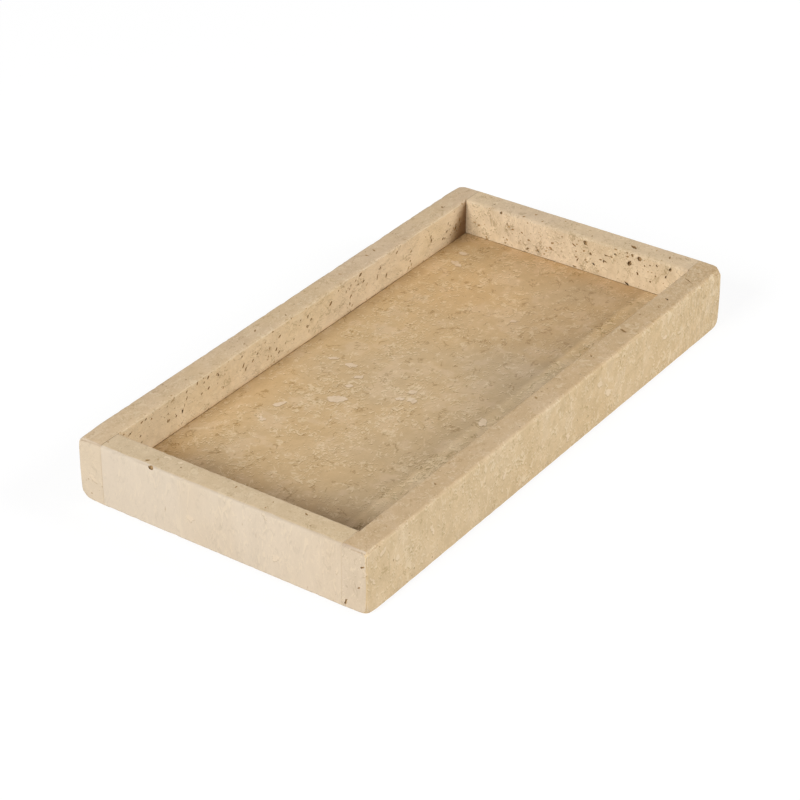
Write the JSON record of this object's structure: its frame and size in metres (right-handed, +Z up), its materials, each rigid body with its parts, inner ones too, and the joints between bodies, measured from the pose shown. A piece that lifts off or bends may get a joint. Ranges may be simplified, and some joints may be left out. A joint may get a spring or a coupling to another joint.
{
  "type": "travertine tray",
  "caption": "Rectangular stone tray: upright rails glued round a set-in base slab make a shallow well, with thin felt pads under the base.",
  "frame": {"origin": "under the middle of the tray, on the surface that the pads stand on", "axes": "+X along the tray, +Y across it, +Z up out of the well"},
  "size_m": [0.3, 0.157, 0.0332],
  "materials": {
    "long_rail_stone": "honed, unfilled",
    "end_rail_stone": "honed, unfilled",
    "base_stone": "honed, unfilled",
    "pad_felt": "pressed felt"
  },
  "bodies": {
    "root": {"long_rail_right": "long_rail_stone", "long_rail_left": "long_rail_stone", "end_rail_near": "end_rail_stone", "end_rail_far": "end_rail_stone", "base_slab": "base_stone", "pad_near_right": "pad_felt", "pad_near_left": "pad_felt", "pad_far_right": "pad_felt", "pad_far_left": "pad_felt"}
  },
  "joints": []
}
